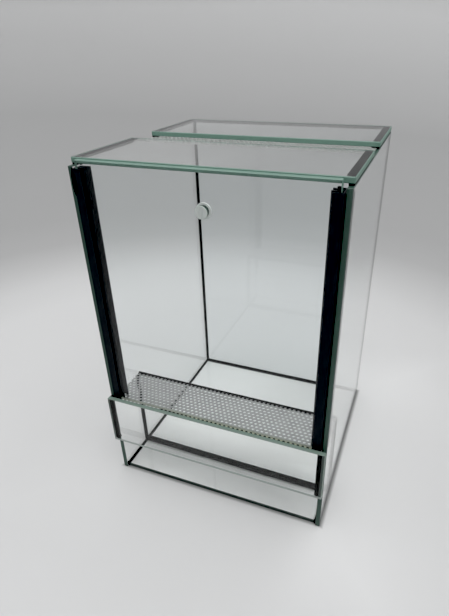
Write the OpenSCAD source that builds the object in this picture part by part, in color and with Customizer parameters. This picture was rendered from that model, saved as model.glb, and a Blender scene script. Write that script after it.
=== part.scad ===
// Glass terrarium with a front pane that lifts in two side guides.
// Millimetres. X is the width, Y runs from front (-) to back (+), Z is up.
// The origin is on the standing surface, below the middle of the whole object.

/* [Glass box] */
// Width of the box over both side walls
tank_w = 200; // [150:5:400]
// Depth of the side walls, front edge to back edge
tank_d = 200; // [190:5:400]
// Height of the side walls and of the back pane
wall_h = 297; // [240:1:500]
// Thickness of every glass pane
glass = 4; // [3:0.5:6]
// Width of the ground arris on every glass edge
arris = 0.5; // [0.2:0.1:0.8]

/* [Silicone joints] */
// Width of the joint between two pane edges
seam = 0.8; // [0.5:0.1:1.5]
// Leg of the beads along the sides of the floor
side_bead = 1.2; // [0.6:0.1:5]
// Leg of the bead along the back of the floor
rear_bead = 1.8; // [0.6:0.1:5]
// Leg of the bead that stands in the left back corner
left_corner_bead = 2.2; // [0.6:0.1:4]
// Leg of the bead that stands in the right back corner
right_corner_bead = 0.8; // [0.6:0.1:4]
// Leg of the bead along the foot of the inner cross pane
dam_bead = 3.6; // [2:0.1:6]
// Leg of the upright beads at the ends of the inner cross pane
dam_side_bead = 2.4; // [1.5:0.1:4]
// Leg of the beads in the corners under the top panes
top_bead = 2.4; // [1:0.1:4]
// Thickness of a bead's feathered edges
bead_edge = 0.3; // [0.2:0.05:0.5]
// Thickness of the beads that hold the front strip off the wall edges
strip_bead = 2; // [1:0.25:3]
// Distance that the left strip bead swells inwards past the wall
left_swell = 0.8; // [0.4:0.1:2]
// Distance that the right strip bead swells inwards past the wall
right_swell = 2.4; // [0.8:0.1:3]
// Width of the right strip bead in front of the wall edge
right_hold = 1.2; // [0.8:0.1:3]
// Thickness of the film of silicone under a perforated sheet
film = 0.2; // [0.1:0.05:0.4]
// Width of the silicone that laps over the rear edge of the lower sheet
sheet_cover = 1; // [0.5:0.1:2]

/* [Front strip and inner cross pane] */
// Height of the open air inlet under the front strip
inlet_h = 41.8; // [25:0.1:60]
// Height of the front strip
strip_h = 50; // [30:1:60]
// Set-back of the inner cross pane from the front edge of the side walls
dam_set = 40; // [30:1:80]
// Set-back of the floor pane from the front edge of the side walls
floor_set = 2; // [1:0.5:6]

/* [Perforated sheets] */
// Thickness of the perforated aluminium
sheet_t = 0.6; // [0.5:0.1:1.5]
// Diameter of the punched holes
hole_d = 2.5; // [1.5:0.1:2.8]
// Distance between hole centres in a row
hole_pitch = 4; // [3.5:0.1:6]
// Drop from the top of the front strip to the top of the lower sheet
sheet_drop = 2.1; // [1.5:0.1:4]
// Least width of metal between the holes and the long edges of a sheet
sheet_rim = 0.3; // [0.2:0.1:1]
// Gap between the ends of the lower sheet and the side walls
sheet_end_gap = 0.6; // [0.3:0.1:1]
// Gap between the front edge of the lower sheet and the front strip
sheet_front_gap = 0.3; // [0:0.05:0.5]
// Gap between the upper sheet and the underside of the top panes
sheet_slack = 0.5; // [0:0.1:0.8]
// Overlap of the upper sheet under each top pane
sheet_lap = 5; // [3:0.5:8]
// Length of the upper sheet that rests on each side wall
sheet_rest = 1.5; // [1:0.1:2]

/* [Top panes] */
// Depth of the front top pane
top_front_d = 80; // [50:1:85]
// Depth of the rear top pane
top_rear_d = 80; // [50:1:85]
// Gap between the lifting pane and the front edge of the front top pane
top_front_gap = 1; // [0.5:0.1:3]
// Set-back of the rear top pane from the back of the box
top_rear_set = 2.5; // [0:0.5:2.5]

/* [Lifting pane] */
// Drop from the top of the top panes to the top edge of the lifting pane
door_drop = 0.7; // [0:0.1:4]
// Gap between the lifting pane and each face of its groove
door_gap = 0.3; // [0.3:0.05:0.6]
// Gap between the lifting pane's side edge and the floor of its groove
door_side_gap = 0.9; // [0.5:0.1:1.5]

/* [Guides] */
// Reach of the front flange of each guide from the side wall
front_reach = 7.8; // [6:0.1:12]
// Reach of the middle and rear flanges of each guide from the side wall
inner_reach = 9.4; // [6:0.1:12]
// Thickness of a guide's flanges
flange_t = 1; // [0.8:0.1:1.6]
// Thickness of a guide's web
web_t = 1.2; // [0.8:0.1:2]
// Thickness of the adhesive behind a guide
guide_bond = 0.4; // [0.3:0.1:1]
// Distance of the adhesive from the ends of a guide
bond_inset = 1; // [0.5:0.1:3]
// Distance that a guide stands forward of the side walls' front edges
guide_proud = 1.4; // [0.5:0.1:1.8]
// Gap between the top of the left guide and the top panes
left_guide_gap = 2.6; // [1:0.1:10]
// Gap between the top of the right guide and the top panes
right_guide_gap = 4.1; // [1:0.1:10]

/* [Knob] */
// Diameter of the glass knob
knob_d = 9.2; // [6:0.1:20]
// Thickness of the glass knob
knob_t = 4.2; // [2.5:0.1:4.8]
// Radius of the knob's rounded rim
knob_round = 0.5; // [0.3:0.1:1.2]
// Diameter of the clear pad that holds the knob
pad_d = 11.2; // [6:0.1:24]
// Thickness of the clear pad
pad_t = 0.9; // [0.3:0.1:1]
// Distance of the knob's centre to the right of the middle
knob_x = 5; // [-40:1:40]
// Distance of the knob's centre below the top of the lifting pane
knob_drop = 26.7; // [15:0.1:60]

/* [Hidden] */
$fn = 48;

// Centre of a bead's hollow, in legs from its corner
bead_hollow = 1.3;

// Planes across the width, from the middle outwards
out_x = tank_w / 2;
in_x = out_x - glass;
pane_x = in_x - seam;
sheet_x = in_x - sheet_end_gap;
guide_root = in_x - guide_bond;
door_x = guide_root - web_t - door_side_gap;
bed_x = out_x - arris;
upper_sheet_x = in_x + sheet_rest;

// Planes along the depth, from front to back
strip_front = -(tank_d + glass + strip_bead) / 2;
strip_back = strip_front + glass;
wall_front = strip_back + strip_bead;
wall_back = wall_front + tank_d;
back_face = wall_back - glass;
floor_front = wall_front + floor_set;
floor_back = back_face - seam;
dam_front = wall_front + dam_set;
dam_back = dam_front + glass;
lower_sheet_front = strip_back + sheet_front_gap;
lower_sheet_back = dam_back - sheet_cover;
groove = glass + 2 * door_gap;
guide_front = wall_front - guide_proud;
guide_back = guide_front + 3 * flange_t + 2 * groove;
door_front = guide_front + flange_t + door_gap;
tf_front = door_front + glass + top_front_gap;
tf_back = tf_front + top_front_d;
tr_back = wall_back - top_rear_set;
tr_front = tr_back - top_rear_d;
upper_sheet_front = tf_back - sheet_lap;
upper_sheet_back = tr_front + sheet_lap;

// Levels, from the floor up
dam_foot = glass + seam;
strip_top = inlet_h + strip_h;
sheet_top = strip_top - sheet_drop;
sheet_z = sheet_top - sheet_t;
dam_top = sheet_z - film;
upper_sheet_z = wall_h + film;
upper_sheet_top = upper_sheet_z + sheet_t;
top_z = upper_sheet_top + sheet_slack;
top_face = top_z + glass;
door_z = sheet_top + door_gap;
door_top = top_face - door_drop;

// ---- Shared shapes ----

// Runs a section drawn in X and Z along Y
module run_y(from, to) {
  translate([0, to, 0]) rotate([90, 0, 0]) linear_extrude(to - from) children();
}

// Runs a section drawn in Y and Z along X
module run_x(from, to) {
  translate([from, 0, 0]) rotate([90, 0, 90]) linear_extrude(to - from) children();
}

// Runs a section drawn in X and Y up Z
module run_z(from, to) {
  translate([0, 0, from]) linear_extrude(to - from) children();
}

// A rectangle between two opposite corners
module panel(lo, hi) {
  translate(lo) square(hi - lo);
}

// A rectangle with its four corners cut by the arris
module arrised_panel(lo, hi) {
  a = arris;
  polygon([
    [lo.x + a, lo.y], [hi.x - a, lo.y], [hi.x, lo.y + a], [hi.x, hi.y - a],
    [hi.x - a, hi.y], [lo.x + a, hi.y], [lo.x, hi.y - a], [lo.x, lo.y + a]
  ]);
}

// A glass pane between two opposite corners, with a ground arris on every edge
module pane(lo, hi) {
  color([0.72, 0.85, 0.80, 0.35]) intersection() {
    run_x(lo.x, hi.x) arrised_panel([lo.y, lo.z], [hi.y, hi.z]);
    run_y(lo.y, hi.y) arrised_panel([lo.x, lo.z], [hi.x, hi.z]);
    run_z(lo.z, hi.z) arrised_panel([lo.x, lo.y], [hi.x, hi.y]);
  }
}

module silicone() {
  color([0.05, 0.06, 0.06]) children();
}

// The same thing on the other side of the middle
module mirrored() {
  mirror([1, 0, 0]) children();
}

// Section of a tooled bead: a hollow fillet in the corner at the origin
module bead(leg) {
  centre = bead_hollow * leg;
  difference() {
    square(leg);
    translate([centre, centre]) circle(norm([centre - leg, centre - bead_edge]));
  }
}

// ---- Glass ----

module bottom_pane() {
  pane([-pane_x, floor_front, 0], [pane_x, floor_back, glass]);
}

module back_pane() {
  pane([-pane_x, back_face, 0], [pane_x, wall_back, wall_h]);
}

module left_wall() {
  pane([-out_x, wall_front, 0], [-in_x, wall_back, wall_h]);
}

module right_wall() {
  pane([in_x, wall_front, 0], [out_x, wall_back, wall_h]);
}

module dam_pane() {
  pane([-pane_x, dam_front, dam_foot], [pane_x, dam_back, dam_top]);
}

module front_strip() {
  pane([-out_x, strip_front, inlet_h], [out_x, strip_back, strip_top]);
}

module top_front_pane() {
  pane([-out_x, tf_front, top_z], [out_x, tf_back, top_face]);
}

module top_rear_pane() {
  pane([-out_x, tr_front, top_z], [out_x, tr_back, top_face]);
}

module lifting_pane() {
  pane([-door_x, door_front, door_z], [door_x, door_front + glass, door_top]);
}

// ---- Knob on the lifting pane ----

// Stands a turned shape on the lifting pane, its axis towards the front
module on_door(gap) {
  translate([knob_x, door_front - gap, door_top - knob_drop]) rotate([90, 0, 0]) children();
}

module knob() {
  r = knob_d / 2;
  color([0.86, 0.93, 0.91, 0.5]) on_door(pad_t) rotate_extrude() {
    square([r - knob_round, knob_t]);
    square([r, knob_t - knob_round]);
    translate([r - knob_round, knob_t - knob_round]) intersection() {
      circle(knob_round);
      square(knob_round);
    }
  }
}

module knob_pad() {
  color([0.9, 0.93, 0.92, 0.5]) on_door(0) cylinder(h = pad_t, d = pad_d);
}

// ---- Perforated sheets ----

// A flat sheet with holes in staggered rows, cut to length through its holes
module perforated(half_w, front, back) {
  row_step = hole_pitch * sin(60);
  rows = floor((back - front - hole_d - 2 * sheet_rim) / row_step);
  first_y = (front + back - rows * row_step) / 2;
  difference() {
    panel([-half_w, front], [half_w, back]);
    for (row = [0:rows]) {
      stagger = row % 2 * hole_pitch / 2;
      for (x = [stagger - half_w:hole_pitch:half_w])
        translate([x, first_y + row * row_step]) circle(d = hole_d);
    }
  }
}

module lower_vent_sheet() {
  color("silver") run_z(sheet_z, sheet_top) perforated(sheet_x, lower_sheet_front, lower_sheet_back);
}

module upper_vent_sheet() {
  color("silver") run_z(upper_sheet_z, upper_sheet_top)
    perforated(upper_sheet_x, upper_sheet_front, upper_sheet_back);
}

// ---- Side guides ----

// Section of a flange with a rounded tip, from the root of the left guide inwards
module flange_section(reach, front) {
  tip_x = reach - in_x - flange_t / 2;
  panel([-guide_root, front], [tip_x, front + flange_t]);
  translate([tip_x, front + flange_t / 2]) circle(d = flange_t);
}

// Section of the left guide: a web on the wall and three flanges that make two grooves
module guide_section() {
  panel([-guide_root, guide_front], [web_t - guide_root, guide_back]);
  flange_section(front_reach, guide_front);
  flange_section(inner_reach, guide_front + flange_t + groove);
  flange_section(inner_reach, guide_back - flange_t);
}

module left_guide() {
  color([0.07, 0.07, 0.08]) run_z(sheet_top, top_z - left_guide_gap) guide_section();
}

module right_guide() {
  color([0.07, 0.07, 0.08]) mirrored() run_z(sheet_top, top_z - right_guide_gap) guide_section();
}

// The adhesive between the left wall and its guide
module bond(guide_top) {
  silicone() run_z(sheet_top + bond_inset, guide_top - bond_inset)
    panel([-in_x, wall_front + arris], [-guide_root, guide_back - bond_inset / 2]);
}

module left_guide_bond() {
  bond(top_z - left_guide_gap);
}

module right_guide_bond() {
  mirrored() bond(top_z - right_guide_gap);
}

// ---- Silicone round the floor and up the back ----

module seal_floor_left() {
  silicone() difference() {
    run_y(floor_front, back_face) {
      panel([-in_x, 0], [-pane_x, glass]);
      translate([-in_x, glass]) bead(side_bead);
    }
    run_y(dam_front, dam_back) panel([-in_x, glass], [0, 2 * side_bead + glass]);
  }
}

module seal_floor_right() {
  mirrored() seal_floor_left();
}

module seal_floor_back() {
  silicone() difference() {
    run_x(-in_x, in_x) {
      panel([floor_back, 0], [back_face, glass]);
      translate([back_face, glass]) mirror([1, 0]) bead(rear_bead);
    }
    seal_floor_left();
    seal_floor_right();
  }
}

// A bead that stands in the left back corner, up to the top pane
module corner_upright(leg) {
  run_z(glass, top_z) translate([-in_x, back_face]) mirror([0, 1]) bead(leg);
}

// The seam between the left wall and the back pane, with the bead inside it
module seal_corner(leg) {
  silicone() difference() {
    union() {
      run_z(0, wall_h) panel([-in_x, back_face], [-pane_x, wall_back]);
      corner_upright(leg);
    }
    seal_floor_left();
    seal_floor_back();
  }
}

module seal_back_left() {
  seal_corner(left_corner_bead);
}

module seal_back_right() {
  mirrored() seal_corner(right_corner_bead);
}

// ---- Silicone round the inner cross pane ----

module seal_dam_foot() {
  silicone() difference() {
    run_x(-in_x, in_x) {
      panel([dam_front, glass], [dam_back, dam_foot]);
      translate([dam_front, glass]) mirror([1, 0]) bead(dam_bead);
    }
    seal_floor_left();
    seal_floor_right();
  }
}

module seal_dam_left() {
  silicone() difference() {
    run_z(glass, dam_top) {
      panel([-in_x, dam_front], [-pane_x, dam_back]);
      translate([-in_x, dam_front]) mirror([0, 1]) bead(dam_side_bead);
    }
    seal_floor_left();
    seal_dam_foot();
  }
}

module seal_dam_right() {
  mirrored() seal_dam_left();
}

// The bed on the cross pane, and a rounded lip that laps over the rear edge of the sheet
module seal_lower_sheet() {
  silicone() run_x(-sheet_x, sheet_x) {
    panel([dam_front + arris, dam_top], [lower_sheet_back, sheet_z]);
    panel([lower_sheet_back, dam_top], [dam_back, sheet_top]);
    translate([lower_sheet_back, sheet_top]) intersection() {
      circle(sheet_cover);
      panel([-sheet_cover, 0], [sheet_cover, sheet_cover]);
    }
  }
}

// ---- Silicone behind the front strip ----

// An upright bead between the strip and a wall edge, which ends in a squeezed-out drop.
// It stops under the lower sheet, except in front of the wall edge.
module strip_seal(inner_x, outer_x, drop_d) {
  foot = inlet_h + arris + drop_d / 2;
  silicone() intersection() {
    run_y(strip_back, wall_front) {
      panel([inner_x, foot], [outer_x, sheet_z]);
      panel([in_x, foot], [outer_x, strip_top - arris]);
      translate([(inner_x + outer_x) / 2, foot]) circle(d = drop_d);
    }
    run_z(inlet_h, strip_top) panel([0, strip_back], [out_x, wall_front]);
  }
}

module seal_strip_left() {
  mirrored() strip_seal(in_x - left_swell, bed_x, glass + 2 * left_swell);
}

module seal_strip_right() {
  strip_seal(in_x - right_swell, in_x + right_hold, right_swell + right_hold);
}

// ---- Silicone under the top panes ----

// The bed on the right wall under a top pane, closed round the end of the upper sheet
module right_bed(front, back) {
  difference() {
    run_y(front, back) panel([in_x, wall_h], [bed_x, top_z]);
    run_z(upper_sheet_z, top_z)
      panel([in_x, upper_sheet_front], [upper_sheet_x, upper_sheet_back]);
  }
}

// The bead under a top pane, along the inside of the right wall
module right_fillet(front, back) {
  run_y(front, back) translate([in_x, top_z]) rotate(180) bead(top_bead);
}

module seal_top_front_right() {
  silicone() {
    right_bed(tf_front + arris, tf_back);
    right_fillet(guide_back, upper_sheet_front);
  }
}

module seal_top_front_left() {
  mirrored() seal_top_front_right();
}

// The right rear bed and its bead, cut round a corner bead with the given leg
module seal_top_rear(corner_leg) {
  silicone() difference() {
    union() {
      right_bed(tr_front, tr_back - arris);
      right_fillet(upper_sheet_back, back_face);
    }
    mirrored() corner_upright(corner_leg);
  }
}

module seal_top_rear_right() {
  seal_top_rear(right_corner_bead);
}

module seal_top_rear_left() {
  mirrored() seal_top_rear(left_corner_bead);
}

module seal_top_back() {
  silicone() difference() {
    run_x(-in_x, in_x) {
      panel([back_face, wall_h], [tr_back - arris, top_z]);
      translate([back_face, top_z]) rotate(180) bead(top_bead);
    }
    corner_upright(left_corner_bead);
    mirrored() corner_upright(right_corner_bead);
    right_fillet(upper_sheet_back, back_face);
    mirrored() right_fillet(upper_sheet_back, back_face);
  }
}

// The film under the right end of the upper sheet, between the top panes
module seal_upper_sheet_right() {
  silicone() run_y(tf_back, tr_front) panel([in_x, wall_h], [upper_sheet_x, upper_sheet_z]);
}

module seal_upper_sheet_left() {
  mirrored() seal_upper_sheet_right();
}

bottom_pane();
back_pane();
left_wall();
right_wall();
dam_pane();
front_strip();
top_front_pane();
top_rear_pane();
lifting_pane();
knob();
knob_pad();
lower_vent_sheet();
upper_vent_sheet();
left_guide();
right_guide();
left_guide_bond();
right_guide_bond();
seal_floor_left();
seal_floor_right();
seal_floor_back();
seal_back_left();
seal_back_right();
seal_dam_foot();
seal_dam_left();
seal_dam_right();
seal_strip_left();
seal_strip_right();
seal_top_front_left();
seal_top_front_right();
seal_top_rear_left();
seal_top_rear_right();
seal_top_back();
seal_lower_sheet();
seal_upper_sheet_left();
seal_upper_sheet_right();
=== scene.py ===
"""The looks of a glass terrarium whose front pane lifts in two side guides."""

import logging
import math
from dataclasses import dataclass, field, replace
from enum import Enum
from typing import Any, Iterable, Sequence, Union

import bmesh
import bpy
from mathutils import Matrix, Vector, noise


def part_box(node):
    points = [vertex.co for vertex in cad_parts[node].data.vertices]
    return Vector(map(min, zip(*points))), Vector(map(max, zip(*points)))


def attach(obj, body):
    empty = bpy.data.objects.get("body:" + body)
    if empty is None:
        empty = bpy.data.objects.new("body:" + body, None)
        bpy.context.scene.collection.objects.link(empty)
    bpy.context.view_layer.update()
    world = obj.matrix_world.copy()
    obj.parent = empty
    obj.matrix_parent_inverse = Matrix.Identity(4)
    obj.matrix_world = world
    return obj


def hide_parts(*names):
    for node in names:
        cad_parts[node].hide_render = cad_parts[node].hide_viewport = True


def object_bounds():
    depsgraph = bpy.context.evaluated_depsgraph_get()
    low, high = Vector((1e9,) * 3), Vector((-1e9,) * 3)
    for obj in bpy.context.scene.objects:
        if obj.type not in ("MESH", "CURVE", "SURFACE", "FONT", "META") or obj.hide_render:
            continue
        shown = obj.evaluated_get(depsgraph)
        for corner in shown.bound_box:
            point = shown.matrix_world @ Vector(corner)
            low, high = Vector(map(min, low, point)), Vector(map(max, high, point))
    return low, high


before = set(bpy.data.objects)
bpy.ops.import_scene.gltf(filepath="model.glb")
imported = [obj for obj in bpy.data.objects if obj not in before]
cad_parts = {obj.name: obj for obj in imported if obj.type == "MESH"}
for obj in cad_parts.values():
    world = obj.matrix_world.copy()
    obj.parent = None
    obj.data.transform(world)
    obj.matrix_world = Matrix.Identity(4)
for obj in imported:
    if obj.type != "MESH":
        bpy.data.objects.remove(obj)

LOG = logging.getLogger("terrarium")
MM = 0.001
CAD_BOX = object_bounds()
FIXED = "enclosure"
MOVING = "front_door"
# How many faces of glass a ray may cross
PANE_CROSSINGS = 32
# Light below this level shows as black
FILM_BLACK = 0.026
# How far a new piece sinks into what carries it
BITE = 0.03 * MM
# Points that are nearer than this become one
WELD = 0.001 * MM
# The punching of the sheets, in rows staggered by half a pitch
HOLE = 2.5 * MM
PITCH = 4.0 * MM
ROW_STEP = PITCH * math.sin(math.pi / 3)
# Edges of a rounded piece that turn by fewer degrees than this are smooth
ROUNDED = 80.0

Number = Union[int, float]
Colour = tuple[float, float, float]
Sizes = Union[Number, Sequence[float]]
BLACK: Colour = (0.0, 0.0, 0.0)
WHITE: Colour = (1.0, 1.0, 1.0)


class Axis(Enum):
    """A direction of the object's frame."""

    X = 0
    Y = 1
    Z = 2

    @property
    def unit(self) -> Vector:
        """The axis as a unit vector."""
        return Vector([1.0 if i == self.value else 0.0 for i in range(3)])


# ---------------- shader sums


class Shade:
    """A number that varies over a surface, used in sums like any other number."""

    def __init__(self, graph: "Graph", socket: bpy.types.NodeSocket) -> None:
        """Keeps the socket and the material that it is in.

        Args:
            graph: The material's nodes.
            socket: The output that carries the number.
        """
        self.graph = graph
        self.socket = socket

    def _math(self, operation: str, *values: Any, clamp: bool = False) -> "Shade":
        """Adds one Math node.

        Args:
            operation: The Math node's operation.
            values: Its inputs, each a Shade or a number.
            clamp: Whether the result stays between 0 and 1.

        Returns:
            The node's result.
        """
        settings = {"operation": operation, "use_clamp": clamp}
        node = self.graph.node("ShaderNodeMath", settings, dict(enumerate(values)))
        return Shade(self.graph, node.outputs[0])

    def __add__(self, other: Any) -> "Shade":
        """self + other."""
        return self._math("ADD", self, other)

    __radd__ = __add__

    def __sub__(self, other: Any) -> "Shade":
        """self - other."""
        return self._math("SUBTRACT", self, other)

    def __rsub__(self, other: Any) -> "Shade":
        """other - self."""
        return self._math("SUBTRACT", other, self)

    def __mul__(self, other: Any) -> "Shade":
        """self * other."""
        return self._math("MULTIPLY", self, other)

    __rmul__ = __mul__

    def __truediv__(self, other: Any) -> "Shade":
        """self / other."""
        return self._math("DIVIDE", self, other)

    def __pow__(self, other: Any) -> "Shade":
        """self ** other."""
        return self._math("POWER", self, other)

    def __mod__(self, other: Any) -> "Shade":
        """self % other, never negative for a positive other."""
        return self._math("FLOORED_MODULO", self, other)

    def __abs__(self) -> "Shade":
        """The size of self."""
        return self._math("ABSOLUTE", self)

    def above(self, edge: Any) -> "Shade":
        """1 where self is over edge, and 0 elsewhere."""
        return self._math("GREATER_THAN", self, edge)

    def held(self) -> "Shade":
        """self kept between 0 and 1."""
        return self._math("ADD", self, 0.0, clamp=True)

    def least(self, other: Any) -> "Shade":
        """The smaller of self and other."""
        return self._math("MINIMUM", self, other)

    def most(self, other: Any) -> "Shade":
        """The larger of self and other."""
        return self._math("MAXIMUM", self, other)

    def ease(self, low: Number, high: Number) -> "Shade":
        """A smooth step from 0 at low to 1 at high.

        Args:
            low: The value that gives 0.
            high: The value that gives 1.

        Returns:
            The step.
        """
        settings = {"interpolation_type": "SMOOTHSTEP"}
        inputs = {"Value": self, "From Min": low, "From Max": high}
        node = self.graph.node("ShaderNodeMapRange", settings, inputs)
        return Shade(self.graph, node.outputs["Result"])


class Graph:
    """The nodes of one material or of the world."""

    def __init__(self, owner: Union[bpy.types.Material, bpy.types.World]) -> None:
        """Starts from an empty node tree.

        Args:
            owner: The material or world that the nodes belong to.
        """
        self.owner = owner
        owner.use_nodes = True
        self.tree = owner.node_tree
        self.tree.nodes.clear()

    @classmethod
    def named(cls, name: str) -> "Graph":
        """A new material with no nodes yet."""
        return cls(bpy.data.materials.new(name))

    def node(self, kind: str, settings: dict[str, Any], inputs: dict[Any, Any]) -> bpy.types.Node:
        """Adds any node.

        Args:
            kind: The node's type.
            settings: Its own settings; "stops" fills a colour ramp with (place, colour) pairs.
            inputs: The value, colour, Shade or socket for each input, by name or number.

        Returns:
            The node.
        """
        node = self.tree.nodes.new(kind)
        for name, value in settings.items():
            if name == "stops":
                self._fill_ramp(node.color_ramp, value)
            else:
                setattr(node, name, value)
        for name, value in inputs.items():
            target = node.inputs[name]
            if isinstance(value, Shade):
                value = value.socket
            if isinstance(value, bpy.types.NodeSocket):
                self.tree.links.new(value, target)
            elif isinstance(value, (tuple, list)) and target.type == "RGBA":
                target.default_value = (*value, 1.0)
            else:
                target.default_value = value
        return node

    @staticmethod
    def _fill_ramp(ramp: bpy.types.ColorRamp, stops: Sequence[tuple[float, Colour]]) -> None:
        """Gives a colour ramp its stops.

        Args:
            ramp: The ramp.
            stops: Pairs of place and colour, in order.
        """
        while len(ramp.elements) < len(stops):
            ramp.elements.new(0.5)
        for element, (place, colour) in zip(ramp.elements, stops):
            element.position = place
            element.color = (*colour, 1.0)

    def place(self) -> bpy.types.NodeSocket:
        """The point on the piece, in metres of the object's frame."""
        return self.node("ShaderNodeTexCoord", {}, {}).outputs["Object"]

    def scaled(self, sizes: Sizes) -> bpy.types.NodeSocket:
        """The point on the piece, measured in the given sizes.

        Args:
            sizes: The length of one unit, in metres, or one length each along X, Y and Z.

        Returns:
            The vector.
        """
        if isinstance(sizes, (int, float)):
            sizes = (sizes, sizes, sizes)
        scale = tuple(1.0 / size for size in sizes)
        inputs = {"Vector": self.place(), "Scale": scale}
        return self.node("ShaderNodeMapping", {}, inputs).outputs["Vector"]

    def along(self, axis: Axis) -> Shade:
        """One coordinate of the point on the piece, in metres."""
        parts = self.node("ShaderNodeSeparateXYZ", {}, {"Vector": self.place()})
        return Shade(self, parts.outputs[axis.value])

    def facing(self, axis: Axis) -> Shade:
        """How far the surface faces either way along an axis, from 0 to 1.

        Args:
            axis: The axis.

        Returns:
            The share.
        """
        normal = self.node("ShaderNodeTexCoord", {}, {}).outputs["Normal"]
        parts = self.node("ShaderNodeSeparateXYZ", {}, {"Vector": normal})
        return abs(Shade(self, parts.outputs[axis.value]))

    def grain(self, sizes: Sizes, detail: float = 2.0, roughness: float = 0.5) -> Shade:
        """Soft random variation between about 0 and 1.

        Args:
            sizes: The length of one patch, in metres, or one length each along X, Y and Z.
            detail: How many finer layers are added.
            roughness: How strong the finer layers are.

        Returns:
            The variation.
        """
        inputs = {
            "Vector": self.scaled(sizes),
            "Scale": 1.0,
            "Detail": detail,
            "Roughness": roughness,
        }
        return Shade(self, self.node("ShaderNodeTexNoise", {}, inputs).outputs["Fac"])

    def cells(self, size: float) -> Shade:
        """The distance to the nearest of many scattered points, in cell sizes."""
        inputs = {"Vector": self.scaled(size), "Scale": 1.0}
        return Shade(self, self.node("ShaderNodeTexVoronoi", {}, inputs).outputs["Distance"])

    def blend(self, amount: Any, first: Any, second: Any) -> bpy.types.NodeSocket:
        """A colour between two colours.

        Args:
            amount: 0 for the first colour, 1 for the second.
            first: A colour or socket.
            second: A colour or socket.

        Returns:
            The colour.
        """
        node = self.node("ShaderNodeMix", {"data_type": "RGBA"}, {0: amount, 6: first, 7: second})
        return node.outputs[2]

    def bump(self, height: Any, distance: float) -> bpy.types.NodeSocket:
        """A normal bent by a height.

        Args:
            height: The height, from 0 to 1.
            distance: What a height of 1 stands for, in metres.

        Returns:
            The normal.
        """
        inputs = {"Height": height, "Distance": distance, "Strength": 1.0}
        return self.node("ShaderNodeBump", {}, inputs).outputs["Normal"]

    def principled(self, inputs: dict[str, Any]) -> bpy.types.NodeSocket:
        """The main shader with the given inputs."""
        return self.node("ShaderNodeBsdfPrincipled", {}, inputs).outputs["BSDF"]

    def simple(self, inputs: dict[str, Any]) -> bpy.types.Material:
        """The material, finished with the main shader alone."""
        return self.finish(self.principled(inputs))

    def finish(self, surface: bpy.types.NodeSocket, volume: Any = None) -> Any:
        """Connects the output.

        Args:
            surface: The surface shader.
            volume: The shader of the inside, if there is one.

        Returns:
            The material or world.
        """
        is_world = isinstance(self.owner, bpy.types.World)
        kind = "ShaderNodeOutputWorld" if is_world else "ShaderNodeOutputMaterial"
        inputs = {"Surface": surface}
        if volume is not None:
            inputs["Volume"] = volume
        self.node(kind, {}, inputs)
        return self.owner


# ---------------- finishes


class PaintedEdgeTone(Enum):
    """The tones of a pane's ground edges and of their arrises, and how milky they are; the tones
    are painted light and shade, lit and shaded copies of one ground glass.
    """

    # Painted light and shade: TEAL and PALE edges are painted lit, DEEP is darkened for the black
    # joints behind it, SHADED is in painted shade.
    TEAL = ((0.195, 0.325, 0.268), (0.235, 0.350, 0.300), 0.95)
    PALE = ((0.235, 0.310, 0.268), (0.280, 0.330, 0.300), 0.92)
    DEEP = ((0.044, 0.084, 0.066), (0.110, 0.140, 0.128), 0.88)
    SHADED = ((0.020, 0.029, 0.026), (0.040, 0.050, 0.046), 0.94)

    @property
    def tone(self) -> Colour:
        """The colour of the ground glass, with its painted light and shade."""
        return self.value[0]

    @property
    def arris(self) -> Colour:
        """The colour of the narrow chamfers along the edges, with their painted light and shade.
        """
        return self.value[1]

    @property
    def milk(self) -> float:
        """The share of the light that the ground glass scatters."""
        return self.value[2]


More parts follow.
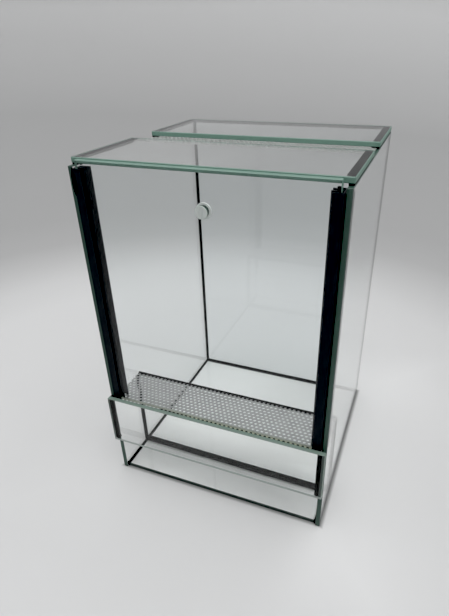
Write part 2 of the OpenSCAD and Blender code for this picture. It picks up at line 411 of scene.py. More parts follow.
@dataclass(frozen=True)
class FloatGlass:
    """Clear float glass with ground edges; its body is faintly green.

    A pane's faces look along `thin`. A surface is ground glass where it looks less than
    `edge_from` that way, and an arris where it still looks more than `arris_from` that way; their
    tones, from `grind`, are painted light and shade. Below a set height near its foot the ground
    glass takes a painted tone: dark painted shade where the pane stands on the floor, and paler
    painted light from the floor on the strip and the lifting pane.
    """

    thin: Axis
    grind: PaintedEdgeTone
    body: Colour = WHITE
    # Painted shade on the lowest ground glass, where a pane stands on the floor.
    painted_foot_top: float = 2.5 * MM
    painted_foot_tone: Colour = (0.012, 0.016, 0.015)
    painted_foot_fade: float = 2.5 * MM
    painted_foot_share: float = 0.88
    edge_from: tuple[float, float] = (0.80, 0.95)
    arris_from: float = 0.3
    arris_share: float = 0.8
    streak_tone: Colour = (0.10, 0.16, 0.14)
    streak_share: float = 0.25
    ior: float = 1.52
    sheen: Colour = (0.55, 0.55, 0.55)
    tint: Colour = (0.30, 0.78, 0.62)
    density: float = 2.6
    let_through: Colour = (0.996, 0.999, 0.998)

    def material(self, name: str) -> bpy.types.Material:
        """The material for one pane.

        Args:
            name: The pane's name.

        Returns:
            The material.
        """
        g = Graph.named(f"{name}_glass")
        face = g.facing(self.thin)
        edge = 1 - face.ease(*self.edge_from)
        film = g.grain(60 * MM, 3.0, 0.6).ease(0.55, 0.8)
        glass = g.principled(
            {
                "Base Color": self.body,
                "Roughness": film * 0.010 + edge * 0.10,
                "IOR": self.ior,
                "Specular Tint": self.sheen,
                "Transmission Weight": 1.0,
            }
        )
        ground = self._ground(g, face.above(self.arris_from) * edge)
        milky = edge * self.grind.milk
        pane = g.node("ShaderNodeMixShader", {}, {0: milky, 1: glass, 2: ground})
        shadow = g.node("ShaderNodeLightPath", {}, {}).outputs["Is Shadow Ray"]
        clear = g.node("ShaderNodeBsdfTransparent", {}, {"Color": self.let_through})
        parts = {0: shadow, 1: pane.outputs[0], 2: clear.outputs[0]}
        mixed = g.node("ShaderNodeMixShader", {}, parts)
        colour = {"Color": self.tint, "Density": self.density}
        inside = g.node("ShaderNodeVolumeAbsorption", {}, colour)
        return g.finish(mixed.outputs[0], inside.outputs[0])

    def _ground(self, g: Graph, arris: Shade) -> bpy.types.NodeSocket:
        """The shader of the ground edges.

        Args:
            g: The material's nodes.
            arris: 1 on the arrises, and 0 elsewhere.

        Returns:
            The shader.
        """
        grind = g.grain(0.4 * MM, 3.0)
        # The edge and arris tones hold the pane's painted light and shade.
        tone = g.blend(arris * self.arris_share, self.grind.tone, self.grind.arris)
        tone = g.blend(self.streak_share * g.grain(14 * MM, 3.0), tone, self.streak_tone)
        # Painted shade on the lowest ground glass; the raised panes get paler painted light there.
        low = 1 - g.along(Axis.Z).ease(self.painted_foot_top - self.painted_foot_fade, self.painted_foot_top)
        tone = g.blend(self.painted_foot_share * low, tone, self.painted_foot_tone)
        return g.principled(
            {
                "Base Color": tone,
                "Roughness": 0.35 + 0.25 * grind,
                "IOR": self.ior,
                "Normal": g.bump(grind, 0.02 * MM),
            }
        )


@dataclass(frozen=True)
class BlackSilicone:
    """Black glazing silicone, smoothed with a finger and faintly glossy."""

    name: str = "black_silicone"
    colour: Colour = (0.0015, 0.0022, 0.0021)
    dust: Colour = (0.008, 0.0095, 0.009)

    def material(self) -> bpy.types.Material:
        """The material, with the name that the finish has.

        Returns:
            The material.
        """
        g = Graph.named(self.name)
        smear = g.grain(6 * MM, 4.0, 0.6)
        fine = g.grain(0.7 * MM)
        colour = g.blend(smear.ease(0.55, 0.85) * 0.5, self.colour, self.dust)
        return g.simple(
            {
                "Base Color": colour,
                "Roughness": 0.36 + 0.22 * smear,
                "IOR": 1.30,
                "Specular IOR Level": 0.16,
                "Normal": g.bump(smear * 0.7 + fine * 0.3, 0.12 * MM),
            }
        )


@dataclass(frozen=True)
class GuidePlastic:
    """Black extruded plastic with faint draw lines and rubbed edges."""

    colour: Colour = (0.0350, 0.0375, 0.0405)
    rubbed: Colour = (0.044, 0.046, 0.049)

    def material(self) -> bpy.types.Material:
        """The material for the two guides.

        Returns:
            The material.
        """
        g = Graph.named("guide_plastic")
        lines = g.grain((0.35 * MM, 0.35 * MM, 90 * MM))
        rub = g.grain((2.5 * MM, 2.5 * MM, 9 * MM), 4.0, 0.65).ease(0.52, 0.8)
        return g.simple(
            {
                "Base Color": g.blend(rub * 0.6, self.colour, self.rubbed),
                "Roughness": 0.34 + 0.14 * rub + 0.10 * lines,
                "IOR": 1.25,
                "Specular IOR Level": 0.20,
                "Normal": g.bump(lines, 0.05 * MM),
            }
        )


@dataclass(frozen=True)
class PunchedAluminium:
    """Mill-finish aluminium sheet with a rolled grain and burred holes, each ringed darker by the
    burr and by painted shade.

    A sheet that is glued down has a smear of glue along its first row of holes, which begins
    `film_from` from its left end.
    """

    left_end: float
    first_row: float
    metal: Colour
    dull: Colour
    film_from: float = 0.0
    film: Colour = (0.52, 0.54, 0.40)
    film_edge: tuple[float, float] = (1.0 * MM, 1.8 * MM)
    shaded_burr: float = 0.35 * MM

    def material(self, name: str) -> bpy.types.Material:
        """The material for one sheet.

        Args:
            name: The material's name.

        Returns:
            The material.
        """
        g = Graph.named(name)
        x = g.along(Axis.X) - self.left_end
        y = g.along(Axis.Y) - self.first_row
        near = self._to_hole(x, y, 0).least(self._to_hole(x, y, 1))
        # A darker ring round each hole: the burr, partly painted shade at the hole's lip.
        rim = 1 - (near - HOLE / 2).ease(0.0, self.shaded_burr)
        rolled = g.grain((14 * MM, 0.25 * MM, 14 * MM), 3.0, 0.6)
        cloud = g.grain(11 * MM, 3.0, 0.55).ease(0.45, 0.85)
        colour = g.blend((rim * 0.2 + cloud * 0.5).held(), self.metal, self.dull)
        metallic: Any = 1.0
        if self.film_from:
            smear = (1 - y.ease(*self.film_edge)) * x.ease(self.film_from, 2 * self.film_from)
            colour = g.blend(smear, colour, self.film)
            metallic = 1 - smear
        return g.simple(
            {
                "Base Color": colour,
                "Metallic": metallic,
                "Roughness": 0.38 + 0.16 * rolled + 0.10 * rim,
                "Normal": g.bump(rolled * 0.3 - rim * 0.5, 0.06 * MM),
            }
        )

    @staticmethod
    def _to_hole(x: Shade, y: Shade, parity: int) -> Shade:
        """The distance to the nearest hole centre of every second row.

        Args:
            x: The distance from the sheet's left end.
            y: The distance from the first row.
            parity: 0 for the even rows, and 1 for the odd rows.

        Returns:
            The distance, in metres.
        """
        across = (x - parity * PITCH / 2 + PITCH / 2) % PITCH - PITCH / 2
        down = (y - parity * ROW_STEP + ROW_STEP) % (2 * ROW_STEP) - ROW_STEP
        return (across * across + down * down) ** 0.5


@dataclass(frozen=True)
class ClearGrip:
    """Glass of the knob: lit and shaded copies of one glass, painted by facing, with a pale face
    and a deep green side, and a painted mint highlight round its rim.
    """

    face: Colour = (0.70, 0.74, 0.72)
    streak: Colour = (0.40, 0.46, 0.43)
    painted_highlight: Colour = (0.78, 0.88, 0.82)
    side: Colour = (0.030, 0.062, 0.050)

    def material(self) -> bpy.types.Material:
        """The material for the knob.

        Returns:
            The material.
        """
        g = Graph.named("knob_glass")
        across = g.facing(Axis.Y)
        # Lit and shaded copies of one glass, painted by facing: a pale face and a deep green side.
        front = across.ease(0.55, 0.85)
        # A painted highlight round the rim.
        rim = across.ease(0.25, 0.6) * (1 - across.ease(0.85, 0.98))
        fine = g.grain(0.5 * MM)
        streak = g.grain((1.1 * MM, 9 * MM, 7 * MM), 3.0).ease(0.35, 0.7)
        tone = g.blend(0.40 * streak, self.face, self.streak)
        tone = g.blend(front, self.side, tone)
        tone = g.blend(rim * 0.8, tone, self.painted_highlight)
        return g.simple(
            {
                "Base Color": tone,
                "Roughness": 0.10 + 0.12 * fine,
                "IOR": 1.52,
                "Transmission Weight": 0.12,
                "Normal": g.bump(fine, 0.01 * MM),
            }
        )


@dataclass(frozen=True)
class ClearAdhesive:
    """Clear adhesive with a milky look and small trapped bubbles."""

    colour: Colour = (0.80, 0.84, 0.82)
    bubbles: Colour = (0.95, 0.97, 0.96)
    alpha: float = 0.95

    def material(self) -> bpy.types.Material:
        """The material for the knob's pad.

        Returns:
            The material.
        """
        g = Graph.named("knob_pad_gel")
        milky = g.grain(3 * MM, 3.0)
        bubble = 1 - g.cells(1.6 * MM).ease(0.10, 0.24)
        colour = g.blend(bubble * 0.5, self.colour, self.bubbles)
        return g.simple(
            {
                "Base Color": colour,
                "Roughness": 0.35 + 0.2 * milky,
                "Alpha": (self.alpha - 0.12 + 0.24 * milky).held(),
                "Normal": g.bump(milky + bubble, 0.05 * MM),
            }
        )


@dataclass(frozen=True)
class StudioPaper:
    """Matt pale paper of the floor and the wall round it.

    Its tone is `white` times a share by the distance from `centre`, painted light and shade by
    that distance. Under the box painted light makes it paler, the more so behind the cross pane.
    Light off the glass is painted as a halo, strongest on the right, and a painted contact shadow
    shows where the box stands. A stripe of painted shade on the wall, by height, darkens its
    reflection in the top panes.
    """

    white: float = 0.705
    # Painted light by the distance from this centre: brightest round the box, darker further out,
    # lighter up the cove and darker again higher on the wall.
    centre: tuple[float, float] = (-0.110, -0.020)
    reach: float = 1.6
    painted_falloff: tuple[tuple[float, float], ...] = (
        (0.33, 1.0), (0.42, 0.94), (0.50, 0.82), (0.60, 0.67), (0.72, 0.62), (1.12, 0.60),
        (1.30, 0.73), (1.42, 0.86), (1.44, 0.84), (1.465, 0.78), (1.49, 0.67), (1.55, 0.63),
    )
    cloud_tone: Colour = (0.5, 0.5, 0.5)
    cloud_share: float = 0.02
    # Painted light under the box, dimmer in front of the cross pane, with painted shade towards
    # the back and the right.
    patch_reach: float = 97.0 * MM
    painted_light_front: float = 0.77
    painted_light_middle: float = 0.90
    painted_light_rear: float = 0.96
    painted_shade_back: tuple[float, float] = (-10 * MM, 60 * MM)
    painted_shade_back_share: float = 0.09
    painted_shade_right: tuple[float, float] = (-60 * MM, 70 * MM)
    painted_shade_right_share: float = 0.13
    # A painted halo of light off the glass round the box, strongest on the right.
    halo: float = 120.0 * MM
    halo_share: float = 0.12
    halo_right: tuple[float, float] = (60 * MM, 110 * MM)
    halo_right_share: float = 0.24
    # A painted contact shadow where the box stands.
    contact_shadow_width: float = 3.8 * MM
    contact_shadow_share: float = 0.56
    # A stripe of painted shade on the wall, which darkens its reflection in the top panes.
    shade_band: tuple[float, float, float, float] = (0.465, 0.515, 0.565, 0.660)
    shade_band_share: float = 0.14

    def material(self) -> bpy.types.Material:
        """The material for the floor and the wall.

        Returns:
            The material.
        """
        g = Graph.named("studio_paper")
        x, y, z = (g.along(axis) for axis in Axis)
        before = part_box("bottom_pane")[0][1] - y
        right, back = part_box("right_wall")[1][:2]
        within = (abs(x) - self.patch_reach).most(before).most(y - self.patch_reach)
        beyond = (abs(x) - right).most(before).most(y - back)
        # Painted light and shade: light under the box, a halo round it, a contact shadow at its
        # foot and a band of shade on the wall.
        under = 1 - within.ease(-0.5 * MM, 0.0)
        halo = self.halo_share + self.halo_right_share * x.ease(*self.halo_right)
        painted_contact_shadow = (1 - beyond.ease(0.0, self.contact_shadow_width)) * (1 - under)
        shade_band = z.ease(*self.shade_band[:2]) * (1 - z.ease(*self.shade_band[2:]))
        tone = g.blend((1 - beyond.ease(0.0, self.halo)) * halo, self._painted_falloff_tone(g, x, y), WHITE)
        tone = g.blend(under, tone, self._painted_light_under_box(g, x, y))
        tone = g.blend(self.contact_shadow_share * painted_contact_shadow, tone, BLACK)
        tone = g.blend(self.shade_band_share * shade_band, tone, BLACK)
        return g.simple({"Base Color": tone, "Roughness": 0.85, "Specular IOR Level": 0.2})

    def _painted_falloff_tone(self, g: Graph, x: Shade, y: Shade) -> bpy.types.NodeSocket:
        """The painted light and shade by the distance from the centre.

        Args:
            g: The material's nodes.
            x: The place along X.
            y: The place along Y.

        Returns:
            The colour.
        """
        x, y = x - self.centre[0], y - self.centre[1]
        away = (x * x + y * y) ** 0.5 / self.reach
        stops = [(r / self.reach, (self.white * v,) * 3) for r, v in self.painted_falloff]
        paper = g.node("ShaderNodeValToRGB", {"stops": stops}, {"Fac": away}).outputs["Color"]
        cloud = g.grain(400 * MM)
        return g.blend(self.cloud_share * cloud, paper, self.cloud_tone)

    def _painted_light_under_box(self, g: Graph, x: Shade, y: Shade) -> bpy.types.NodeSocket:
        """The painted light under the box, with painted shade towards the back and the right.

        Args:
            g: The material's nodes.
            x: The place along X.
            y: The place along Y.

        Returns:
            The colour.
        """
        front, middle, rear = (
            (tone,) * 3 for tone in (self.painted_light_front, self.painted_light_middle, self.painted_light_rear)
        )
        cross_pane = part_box("dam_pane")[0][1]
        # Painted light under the box, dimmer in front of the cross pane, where the lower sheet
        # shades the floor.
        tone = g.blend(y.ease(-self.patch_reach, cross_pane), front, middle)
        tone = g.blend(y.ease(cross_pane - MM, cross_pane + MM), tone, rear)
        # Painted shade towards the back and the right.
        dull = self.painted_shade_back_share * y.ease(*self.painted_shade_back)
        dull += self.painted_shade_right_share * x.ease(*self.painted_shade_right)
        return g.blend(dull, tone, BLACK)


# ---------------- mesh helpers


def block(low: Vector, high: Vector) -> bmesh.types.BMesh:
    """A box between two corners.

    Args:
        low: The corner with the lesser coordinates.
        high: The opposite corner.

    Returns:
        The bmesh.
    """
    mesh = bmesh.new()
    bmesh.ops.create_cube(mesh, size=1.0)
    bmesh.ops.scale(mesh, vec=high - low, verts=mesh.verts)
    bmesh.ops.translate(mesh, vec=(low + high) / 2, verts=mesh.verts)
    return mesh


def spun(
    outline: Sequence[Sequence[float]], centre: Vector, axis: Axis, steps: int
) -> bmesh.types.BMesh:
    """An outline that is turned right round an axis.

    Args:
        outline: Its points, in order.
        centre: A point on the axis.
        axis: The direction of the axis.
        steps: How many steps the turn has.

    Returns:
        The bmesh.
    """
    mesh = bmesh.new()
    verts = [mesh.verts.new(point) for point in outline]
    edges = [mesh.edges.new(pair) for pair in zip(verts, verts[1:])]
    bmesh.ops.spin(
        mesh,
        geom=[*verts, *edges],
        cent=centre,
        axis=axis.unit,
        angle=math.tau,
        steps=steps,
        use_merge=True,
    )
    bmesh.ops.remove_doubles(mesh, verts=mesh.verts, dist=WELD)
    bmesh.ops.recalc_face_normals(mesh, faces=mesh.faces)
    return mesh


def new_piece(mesh: bmesh.types.BMesh, name: str, smooth_below: float = 35.0) -> bpy.types.Object:
    """Makes an object, at the origin, of a finished bmesh.

    Args:
        mesh: The bmesh, which is freed.
        name: The object's name.
        smooth_below: Edges sharper than this many degrees stay sharp.

    Returns:
        The object.
    """
    data = bpy.data.meshes.new(name)
    mesh.normal_update()
    mesh.to_mesh(data)
    mesh.free()
    data.shade_smooth()
    data.set_sharp_from_angle(angle=math.radians(smooth_below))
    piece = bpy.data.objects.new(name, data)
    bpy.context.collection.objects.link(piece)
    return piece


def dress(piece: bpy.types.Object, material: bpy.types.Material) -> None:
    """Gives a piece one material.

    Args:
        piece: The object.
        material: Its material.
    """
    if not piece.material_slots:
        piece.data.materials.append(material)
    for slot in piece.material_slots:
        slot.material = material


def settle(
    piece: bpy.types.Object, material: bpy.types.Material, body: str, slot: str, *nodes: str
) -> None:
    """Dresses a new piece and puts it on its body, in place of its CAD nodes.

    Args:
        piece: The object.
        material: Its material.
        body: The body that it moves with.
        slot: The record's material slot; not used.
        nodes: The CAD nodes that it stands for.
    """
    dress(piece, material)
    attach(piece, body)
    if nodes:
        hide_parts(*nodes)
    LOG.info("%s: %d faces on %s", piece.name, len(piece.data.polygons), body)


# ---------------- glass box

# The axis that each pane is thin along, and the tones of its ground edges, with their painted
# light and shade
PANES: dict[str, tuple[Axis, PaintedEdgeTone]] = {
    "bottom_pane": (Axis.Z, PaintedEdgeTone.SHADED),
    "back_pane": (Axis.Y, PaintedEdgeTone.SHADED),
    "left_wall": (Axis.X, PaintedEdgeTone.DEEP),
    "right_wall": (Axis.X, PaintedEdgeTone.DEEP),
    "dam_pane": (Axis.Y, PaintedEdgeTone.DEEP),
    "front_strip": (Axis.Y, PaintedEdgeTone.PALE),
    "top_front_pane": (Axis.Z, PaintedEdgeTone.TEAL),
    "top_rear_pane": (Axis.Z, PaintedEdgeTone.TEAL),
    "lifting_pane": (Axis.Y, PaintedEdgeTone.TEAL),
}


@dataclass
class GlassBox:
    """The panes of the box, the strip, the cross pane, the top and the lifting pane."""

    # Painted light from the floor on the lower edges of the strip and the lifting pane.
    floor_lit_feet: dict[str, Colour] = field(
        default_factory=lambda: {
            "front_strip": (0.42, 0.45, 0.44),
            "lifting_pane": (0.36, 0.365, 0.31),
        }
    )
    painted_foot_rise: float = 5.0 * MM
    greyed: tuple[str, ...] = ("lifting_pane", "back_pane")
    grey: Colour = (0.955, 0.971, 0.974)

    def build(self) -> None:
        """Dresses every pane; two have lower edges painted paler, with painted light from the
        floor below, and two are greyer.
        """
        for name, (axis, grind) in PANES.items():
            glass = FloatGlass(axis, grind)
            if name in self.floor_lit_feet:
                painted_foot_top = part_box(name)[0][2] + self.painted_foot_rise
                glass = replace(glass, painted_foot_top=painted_foot_top, painted_foot_tone=self.floor_lit_feet[name])
            if name in self.greyed:
                glass = replace(glass, body=self.grey)
            dress(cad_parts[name], glass.material(name))
            LOG.info("%s: float glass, %s edges", name, grind.name.lower())


# ---------------- silicone


@dataclass
class SiliconeJoints:
    """Every black joint, smoothed by hand, so that its edges waver a little.

    `fine_wave` says how much finer the small waves are, and how strong. In front of the cross
    pane `dam_reach` stretches the bead forwards, and `dam_rise` upwards where it is higher than
    `dam_lip`, each by the shares at its left and its right end.
    """

    station: float = 2.5 * MM
    waver: float = 0.16 * MM
    wave: float = 9.0 * MM
    fine_wave: tuple[float, float] = (3.7, 0.45)
    flat: float = math.radians(0.4)
    probe: float = 0.05 * MM
    dam_lip: float = 0.9 * MM
    dam_face: float = 0.1 * MM
    dam_rise: tuple[float, float] = (1.75, 1.25)
    dam_reach: tuple[float, float] = (0.5, 1.1)
    panes: list[tuple[Vector, Vector]] = field(default_factory=list)

    def build(self) -> None:
        """Makes and dresses all the joints."""
        finish = BlackSilicone().material()
        self.panes = [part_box(name) for name in PANES if name != "lifting_pane"]
        for name in sorted(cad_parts):
            if name.startswith("seal_"):
                settle(self.tooled(name), finish, FIXED, "silicone_black", name)

    def tooled(self, node: str) -> bpy.types.Object:
        """A joint with the waver of a hand-tooled bead.

        Args:
            node: The CAD node whose place and section it has.

        Returns:
            The piece.
        """
        mesh = bmesh.new()
        mesh.from_mesh(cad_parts[node].data)
        bmesh.ops.remove_doubles(mesh, verts=mesh.verts, dist=WELD)
        bmesh.ops.dissolve_limit(mesh, angle_limit=self.flat, verts=mesh.verts, edges=mesh.edges)
        self._cut_stations(mesh, node)
        if node == "seal_dam_foot":
            self._steepen(mesh)
        self._move(mesh)
        bmesh.ops.triangulate(mesh, faces=[f for f in mesh.faces if len(f.verts) > 4])
        return new_piece(mesh, f"{node}_tooled")

    def _steepen(self, mesh: bmesh.types.BMesh) -> None:
        """Pushes the bead in front of the cross pane up it, most at the left end.

        Args:
            mesh: The bead.
        """
        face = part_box("dam_pane")[0][1]
        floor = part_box("bottom_pane")[1][2]
        left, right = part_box("seal_dam_foot")[0][0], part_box("seal_dam_foot")[1][0]
        for vert in mesh.verts:
            share = (vert.co.x - left) / (right - left)
            rise, reach = (a + (b - a) * share for a, b in (self.dam_rise, self.dam_reach))
            if vert.co.y < face + self.dam_face and vert.co.z > floor + self.dam_lip:
                vert.co.z = floor + (vert.co.z - floor) * rise
            if vert.co.y < face:
                vert.co.y = face + (vert.co.y - face) * reach

    def _cut_stations(self, mesh: bmesh.types.BMesh, node: str) -> None:
        """Cuts a bead across at even steps along its length.

        Args:
            mesh: The bead.
            node: The CAD node that gives its box.
        """
        low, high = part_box(node)
        size = Vector(high) - Vector(low)
        run = max(Axis, key=lambda axis: size[axis.value])
        steps = max(2, round(size[run.value] / self.station))
        for k in range(1, steps):
            spot = Vector(low) + run.unit * (size[run.value] * k / steps)
            everything = [*mesh.verts, *mesh.edges, *mesh.faces]
            bmesh.ops.bisect_plane(
                mesh, geom=everything, dist=0.0001 * MM, plane_co=spot, plane_no=run.unit
            )

    def _move(self, mesh: bmesh.types.BMesh) -> None:
        """Sinks the faces on the glass a little, and wavers the free ones.

        Args:
            mesh: The bead.
        """
        mesh.normal_update()
        on_glass = {face: self._touches(face) for face in mesh.faces}
        finer, fainter = self.fine_wave
        moves = []
        for vert in mesh.verts:
            bed = self._mean(face.normal for face in vert.link_faces if on_glass[face])
            free = self._mean(face.normal for face in vert.link_faces if not on_glass[face])
            point = vert.co / self.wave
            swell = noise.noise(point) + fainter * noise.noise(point * finer)
            moves.append(bed * BITE + free * (self.waver * swell))
        for vert, move in zip(mesh.verts, moves):
            spot = vert.co + move
            vert.co = [min(max(v, lo), hi) for v, lo, hi in zip(spot, *CAD_BOX)]

    def _touches(self, face: bmesh.types.BMFace) -> bool:
        """True if a face lies on a pane."""
        probe = face.calc_center_median() + face.normal * self.probe
        return any(all(low[i] < probe[i] < high[i] for i in range(3)) for low, high in self.panes)

    @staticmethod
    def _mean(normals: Iterable[Vector]) -> Vector:
        """The direction between some normals, or nothing if there are none."""
        total = sum((n.copy() for n in normals), Vector((0.0, 0.0, 0.0)))
        return total.normalized() if total.length > 1e-6 else total


@dataclass
class SiliconeLumps:
    """Where silicone squeezed out or was dabbed on by hand, with sizes in millimetres.

    Each lump has the place of its middle and half its size along each axis.
    """

    lumps: dict[str, tuple[Sequence[float], Sequence[float]]] = field(
        default_factory=lambda: {
            "lump_floor_left": ((-95.7, -95.2, 4.8), (1.2, 1.1, 1.9)),
            "lump_floor_right": ((95.3, -95.4, 3.5), (0.9, 0.8, 3.4)),
            "lump_sheet_a": ((-92.6, -54.6, 90.2), (1.4, 1.0, 1.2)),
            "lump_sheet_b": ((-90.1, -54.4, 90.0), (1.1, 0.9, 1.1)),
            "lump_sheet_c": ((-87.4, -54.5, 90.1), (1.5, 0.9, 1.3)),
        }
    )
    unevenness: tuple[float, float] = (0.10, 1.7)
    spill: tuple[Sequence[float], Sequence[float]] = ((-95.4, -97.6, 285.6), (2.3, 1.3, 10.6))
    stub_size: Sequence[float] = (2.3, 1.4, 3.4)
    stub_place: Sequence[float] = (91.2, -91.9)
    stub_rise: float = 0.9
    stub_round: float = 0.5
    pad_past: float = 0.8
    pad_waver: float = 0.4
    pad_wave: float = 10 / 7

    def build(self) -> None:
        """Makes and dresses the lumps, the pads over the sheet and the dabs on the guides."""
        finish = BlackSilicone().material()
        pieces = [
            new_piece(self._ball(*sizes), name, ROUNDED) for name, sizes in self.lumps.items()
        ]
        pieces += [self.overflow(), self.stub(), *self.pads()]
        for piece in pieces:
            settle(piece, finish, FIXED, "silicone_black")

    def _ball(self, centre: Sequence[float], radii: Sequence[float]) -> bmesh.types.BMesh:
        """A slightly uneven ellipsoid.

        Args:
            centre: Its middle.
            radii: Half its size along each axis.

        Returns:
            The bmesh.
        """
        depth, finer = self.unevenness
        mesh = bmesh.new()
        bmesh.ops.create_icosphere(mesh, subdivisions=4, radius=1.0)
        for vert in mesh.verts:
            vert.co *= 1 + depth * noise.noise(vert.co * finer + Vector(centre))
        bmesh.ops.scale(mesh, vec=Vector(radii) * MM, verts=mesh.verts)
        bmesh.ops.translate(mesh, vec=Vector(centre) * MM, verts=mesh.verts)
        return mesh

    def overflow(self) -> bpy.types.Object:
        """Silicone that squeezed out from behind the left guide, over the wall's front edge.

        Returns:
            The piece.
        """
        low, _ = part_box("left_guide")
        wall_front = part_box("left_wall")[0][1]
        mesh = self._ball(*self.spill)
        for vert in mesh.verts:
            back = wall_front if vert.co.x < low[0] else low[1]
            vert.co.y = min(vert.co.y, back + BITE)
        return new_piece(mesh, "left_guide_overflow", ROUNDED)

    def stub(self) -> bpy.types.Object:
        """A dab that stands on the end of the right guide's inner flange.

        Returns:
            The piece.
        """
        guide_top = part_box("right_guide")[1][2]
        middle = Vector((*self.stub_place, self.stub_rise)) * MM + Axis.Z.unit * guide_top
        half = Vector(self.stub_size) * MM / 2
        mesh = block(middle - half, middle + half)
        bmesh.ops.bevel(
            mesh,
            geom=mesh.edges[:],
            offset=self.stub_round * MM,
            affect="EDGES",
            segments=3,
            profile=0.5,
            material=-1,
        )
        return new_piece(mesh, "right_guide_stub", ROUNDED)

    def pads(self) -> list[bpy.types.Object]:
        """Four pads of silicone between the ends of the upper sheet and the top panes.

        Returns:
            The four pieces.
        """
        sheet_low, sheet_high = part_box("upper_vent_sheet")
        front_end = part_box("top_front_pane")[1][1]
        rear_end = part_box("top_rear_pane")[0][1]
        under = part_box("top_front_pane")[0][2]
        spans = {"front": (sheet_low[1], front_end), "rear": (rear_end, sheet_high[1])}
        bead_low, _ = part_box("seal_top_front_right")
        pads = []
        for place, (near, far) in spans.items():
            for side, name in ((-1, "left"), (1, "right")):
                low = Vector((bead_low[0], near, sheet_high[2] - BITE))
                high = Vector((sheet_high[0] + self.pad_past * MM, far, under + BITE))
                mesh = block(low, high)
                bmesh.ops.subdivide_edges(mesh, edges=mesh.edges[:], cuts=3, use_grid_fill=True)
                for vert in mesh.verts:
                    point = vert.co / (self.pad_wave * MM) + Vector((side, 0, 0))
                    vert.co.x += self.pad_waver * MM * noise.noise(point)
                    vert.co.x *= side
                bmesh.ops.recalc_face_normals(mesh, faces=mesh.faces)
                pads.append(new_piece(mesh, f"sheet_pad_{place}_{name}"))
        return pads


# ---------------- guides


@dataclass
class SideGuides:
    """The two black guides and the silicone behind them."""

    stations: int = 60
    ripple: float = 0.35 * MM
    ripple_wave: float = 7 * MM

    def build(self) -> None:
        """Dresses the guides and makes the silicone behind them."""
        plastic = GuidePlastic().material()
        silicone = BlackSilicone().material()
        for side in ("left", "right"):
            dress(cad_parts[f"{side}_guide"], plastic)
            bond = f"{side}_guide_bond"
            settle(self.bond(bond), silicone, FIXED, "silicone_black", bond)

    def bond(self, node: str) -> bpy.types.Object:
        """A strip of silicone with an uneven edge.

        Args:
            node: The CAD node whose place it has.

        Returns:
            The piece.
        """
        low, high = (Vector(corner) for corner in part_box(node))
        mesh = block(low, high)
        upright = [e for e in mesh.edges if abs(e.verts[0].co.z - e.verts[1].co.z) > MM]
        bmesh.ops.subdivide_edges(mesh, edges=upright, cuts=self.stations)
        for vert in mesh.verts:
            away = math.copysign(BITE, vert.co.x - (low.x + high.x) / 2)
            ripple = self.ripple * noise.noise(vert.co / self.ripple_wave)
            vert.co += Vector((away, ripple, 0.0))
        bmesh.ops.recalc_face_normals(mesh, faces=mesh.faces)
        return new_piece(mesh, f"{node}_spread")


# ---------------- sheets


@dataclass
class VentSheets:
    """The two perforated aluminium sheets.

    Each has the tones of its metal, lit and shaded copies of one aluminium, painted lighter on the
    upper sheet for the bright room it mirrors at a grazing view and darker on the lower one, and
    whether it is glued down along its front edge, as it is from `glued_from` on, measured from its
    left end.
    """

    # Painted light and shade: the upper sheet's tones are painted lighter than the lower sheet's.
    lit_and_shaded_tones: dict[str, tuple[Colour, Colour, bool]] = field(
        default_factory=lambda: {
            "lower_vent_sheet": ((0.48, 0.48, 0.48), (0.36, 0.36, 0.36), True),
            "upper_vent_sheet": ((0.76, 0.76, 0.75), (0.62, 0.62, 0.61), False),
        }
    )
    rim: float = 0.3 * MM
    glued_from: float = 45.0 * MM
    glue: Colour = (0.010, 0.011, 0.008)
    plug_depth: float = 0.36 * MM
    plug_taper: float = 0.15 * MM
    plug_drop: float = 0.05 * MM
    plug_sides: int = 14

    def build(self) -> None:
        """Dresses both sheets, and fills the front holes of the glued one."""
        for name, (metal, dull, glued) in self.lit_and_shaded_tones.items():
            low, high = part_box(name)
            rows = math.floor((high[1] - low[1] - HOLE - 2 * self.rim) / ROW_STEP)
            first = (low[1] + high[1] - rows * ROW_STEP) / 2
            film_from = self.glued_from if glued else 0.0
            finish = PunchedAluminium(low[0], first, metal, dull, film_from)
            dress(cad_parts[name], finish.material(name))
            LOG.info("%s: %d rows of holes", name, rows + 1)
            if glued:
                self.fill(name, first)

    def fill(self, name: str, row: float) -> None:
        """Plugs the holes of one row with the glue that holds the sheet down.

        Args:
            name: The sheet.
            row: The place of the row along Y.
        """
        low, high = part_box(name)
        height = (low[2] + high[2]) / 2 - self.plug_drop
        mesh = bmesh.new()
        first = math.ceil(self.glued_from / PITCH)
        for k in range(first, math.floor(2 * high[0] / PITCH)):
            bmesh.ops.create_cone(
                mesh,
                cap_ends=True,
                segments=self.plug_sides,
                radius1=HOLE / 2 + BITE,
                radius2=HOLE / 2 - self.plug_taper,
                depth=self.plug_depth,
                matrix=Matrix.Translation((low[0] + k * PITCH, row, height)),
            )
        piece = new_piece(mesh, f"{name}_glue")
        glue = BlackSilicone("sheet_glue", self.glue).material()
        settle(piece, glue, FIXED, "silicone_black")


# ---------------- knob


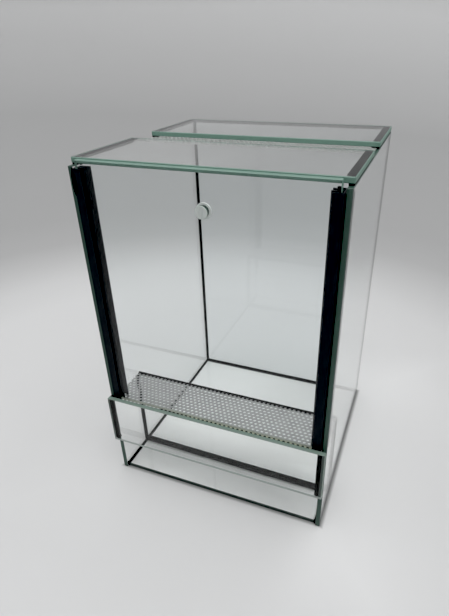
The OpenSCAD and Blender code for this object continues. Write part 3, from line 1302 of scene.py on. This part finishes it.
@dataclass
class Knob:
    """The glass knob and its pad on the lifting pane."""

    steps: int = 72
    rim_steps: int = 8
    dome_steps: int = 6

    def build(self) -> None:
        """Makes and dresses the knob and the pad."""
        knob = self.turned("knob", rim=0.5 * MM, dome=0.15 * MM, taper=0.5 * MM)
        settle(knob, ClearGrip().material(), MOVING, "knob_glass", "knob")
        pad = self.turned("knob_pad", rim=0.25 * MM, dome=0.0, foot=BITE)
        settle(pad, ClearAdhesive().material(), MOVING, "clear_adhesive", "knob_pad")

    def turned(
        self, node: str, rim: float, dome: float, foot: float = 0.0, taper: float = 0.0
    ) -> bpy.types.Object:
        """A disc that stands off the pane, with a rounded rim and a domed face.

        Args:
            node: The CAD node whose place and size it has.
            rim: The radius of its rim.
            dome: How much the face is crowned.
            foot: How far its back is sunk into what carries it.
            taper: How much smaller its back is.

        Returns:
            The piece.
        """
        low, high = (Vector(corner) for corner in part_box(node))
        radius = (high.x - low.x) / 2
        centre = Vector(((low.x + high.x) / 2, 0.0, (low.z + high.z) / 2))
        outline = [(0.0, high.y + foot), (radius - taper, high.y + foot)]
        for k in range(self.rim_steps + 1):
            turn = math.radians(90.0 * k / self.rim_steps)
            spot = (radius - rim + rim * math.cos(turn), low.y + dome + rim - rim * math.sin(turn))
            outline.append(spot)
        for k in range(1, self.dome_steps + 1):
            share = k / self.dome_steps
            outline.append(((radius - rim) * (1 - share), low.y + dome * (1 - share) ** 2))
        points = [(centre.x + r, y, centre.z) for r, y in outline]
        return new_piece(spun(points, centre, Axis.Y, self.steps), f"{node}_turned")


# ---------------- studio


@dataclass
class Studio:
    """A round cove of pale paper, soft light from above, and the camera."""

    floor_radius: float = 0.60
    cove_radius: float = 0.95
    wall_height: float = 1.7
    rise_steps: int = 16
    round_steps: int = 96
    sunk: float = 0.05 * MM
    sky_edge: tuple[float, float] = (0.2, 1.0)
    sky_low: Colour = (0.96, 0.97, 0.98)
    sky_high: Colour = (1.02, 1.03, 1.04)
    sky_strength: float = 1.00
    softbox_place: tuple[float, float, float] = (0.35, -0.45, 2.2)
    softbox_size: float = 1.6
    softbox_power: float = 18.0
    image: tuple[int, int] = (449, 616)

    def build(self) -> None:
        """Makes the cove, the lights and the camera."""
        cove = self.cove()
        dress(cove, StudioPaper().material())
        self.sky()
        self.softbox()
        self.camera()

    def cove(self) -> bpy.types.Object:
        """The floor, which rises into a wall all round.

        Returns:
            The piece.
        """
        outline = [(0.0, 0.0), (self.floor_radius, 0.0)]
        for k in range(1, self.rise_steps + 1):
            turn = math.radians(90.0 * k / self.rise_steps)
            reach = self.floor_radius + self.cove_radius * math.sin(turn)
            outline.append((reach, self.cove_radius * (1 - math.cos(turn))))
        outline.append((self.floor_radius + self.cove_radius, self.wall_height))
        points = [(r, 0.0, z - self.sunk) for r, z in outline]
        mesh = spun(points, Vector(), Axis.Z, self.round_steps)
        bmesh.ops.reverse_faces(mesh, faces=mesh.faces)
        return new_piece(mesh, "studio_cove", smooth_below=60.0)

    def sky(self) -> None:
        """The even light of the room, which comes in over the wall."""
        world = bpy.data.worlds.new("room_light")
        g = Graph(world)
        way = g.node("ShaderNodeTexCoord", {}, {}).outputs["Generated"]
        parts = g.node("ShaderNodeSeparateXYZ", {}, {"Vector": way})
        up = Shade(g, parts.outputs[Axis.Z.value])
        glow = g.blend(up.ease(*self.sky_edge), self.sky_low, self.sky_high)
        inputs = {"Color": glow, "Strength": self.sky_strength}
        light = g.node("ShaderNodeBackground", {}, inputs)
        g.finish(light.outputs[0])
        bpy.context.scene.world = world

    def softbox(self) -> None:
        """A square soft light that faces the object."""
        data = bpy.data.lights.new("softbox", "AREA")
        data.size = self.softbox_size
        data.energy = self.softbox_power
        lamp = bpy.data.objects.new("softbox", data)
        lamp.location = self.softbox_place
        lamp.rotation_mode = "QUATERNION"
        lamp.rotation_quaternion = (-Vector(self.softbox_place)).to_track_quat("-Z", "Y")
        bpy.context.collection.objects.link(lamp)

    def camera(self) -> None:
        """The camera, which looks down at the object from its front right."""
        lens = Lens()
        data = bpy.data.cameras.new("camera")
        data.sensor_fit = "AUTO"
        data.sensor_width = 36.0
        longer = max(self.image)
        data.lens = lens.focal * data.sensor_width / longer
        data.shift_x = (self.image[0] / 2 - lens.centre[0]) / longer
        data.shift_y = (lens.centre[1] - self.image[1] / 2) / longer
        data.clip_start = 0.01
        data.clip_end = 20.0
        camera = bpy.data.objects.new("camera", data)
        camera.matrix_world = lens.matrix()
        bpy.context.collection.objects.link(camera)
        bpy.context.scene.camera = camera


@dataclass(frozen=True)
class Lens:
    """Where the camera stands and how it looks, with lengths in metres and pixels."""

    place: tuple[float, float, float] = (0.1389, -0.3732, 0.3710)
    yaw: float = 22.102
    pitch: float = 29.816
    roll: float = -1.283
    focal: float = 478.12
    centre: tuple[float, float] = (237.14, 315.0)

    def matrix(self) -> Matrix:
        """The camera's place and turn.

        Returns:
            The matrix.
        """
        yaw, pitch, roll = (math.radians(a) for a in (self.yaw, self.pitch, self.roll))
        forward = Vector(
            (-math.sin(yaw) * math.cos(pitch), math.cos(yaw) * math.cos(pitch), -math.sin(pitch))
        )
        level = Vector((math.cos(yaw), math.sin(yaw), 0.0))
        over = level.cross(forward)
        across = math.cos(roll) * level + math.sin(roll) * over
        up = -math.sin(roll) * level + math.cos(roll) * over
        turn = Matrix((across, up, -forward)).transposed().to_4x4()
        return Matrix.Translation(self.place) @ turn


def main() -> None:
    """Builds the object's sub-assemblies in order, and then the studio."""
    logging.basicConfig(level=logging.INFO, format="%(name)s: %(message)s")
    scene = bpy.context.scene
    scene.view_settings.view_transform = "Standard"
    scene.view_settings.use_curve_mapping = True
    scene.view_settings.curve_mapping.black_level = (FILM_BLACK,) * 3
    scene.view_settings.curve_mapping.update()
    scene.cycles.max_bounces = scene.cycles.transmission_bounces = PANE_CROSSINGS
    scene.cycles.transparent_max_bounces = PANE_CROSSINGS
    parts = (GlassBox, SiliconeJoints, SiliconeLumps, SideGuides, VentSheets, Knob, Studio)
    for part in parts:
        LOG.info("building %s", part.__name__)
        part().build()


if __name__ == "__main__":
    main()
